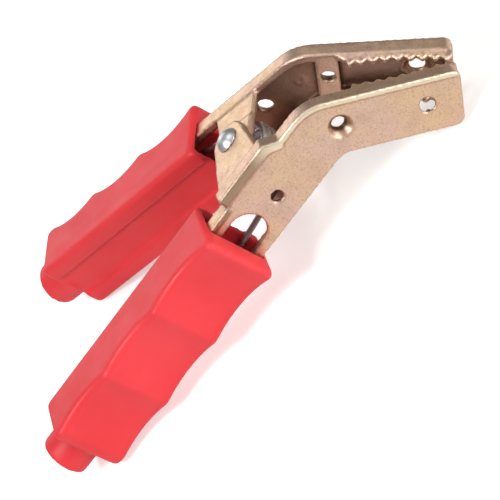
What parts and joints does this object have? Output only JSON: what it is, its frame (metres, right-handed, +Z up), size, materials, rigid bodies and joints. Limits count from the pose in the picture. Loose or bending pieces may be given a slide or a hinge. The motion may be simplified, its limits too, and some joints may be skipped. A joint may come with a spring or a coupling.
{
  "type": "booster cable clamp",
  "caption": "Angled spring clamp for battery cables: two toothed cast brass jaws on a rivet, a torsion spring, and soft grip sleeves with cable entries.",
  "frame": {"origin": "middle of the footprint on the surface that the clamp lies on, jaws closed", "axes": "+Z up on the convex side of the bend, +X from the handles to the jaws, +Y to the left half"},
  "size_m": [0.2094, 0.1148, 0.0534],
  "materials": {
    "cast_brass": "cast brass, brown with worn bright edges",
    "red_pvc": "soft moulded PVC, semi-gloss red",
    "zinc_steel": "zinc-plated steel",
    "spring_steel": "plated spring wire"
  },
  "bodies": {
    "left_half": {"left_jaw": "cast_brass", "left_grip": "red_pvc", "pivot_rivet": "zinc_steel", "rivet_washer": "zinc_steel", "spacer_tube": "zinc_steel", "torsion_spring": "spring_steel", "cable_saddle": "zinc_steel", "saddle_screw_1": "zinc_steel", "saddle_screw_2": "zinc_steel"},
    "right_half": {"right_jaw": "cast_brass", "right_grip": "red_pvc"}
  },
  "joints": [
    {"name": "jaw_pivot", "type": "hinge", "parent": "left_half", "child": "right_half", "pos_m": [0.02513, 0, 0.03427], "axis": [0.1571, 0, -0.9876], "range_deg": [0, 32], "stiffness_Nm_per_rad": 0.87, "springref_deg": -120.32, "deforming": ["torsion_spring"]}
  ]
}
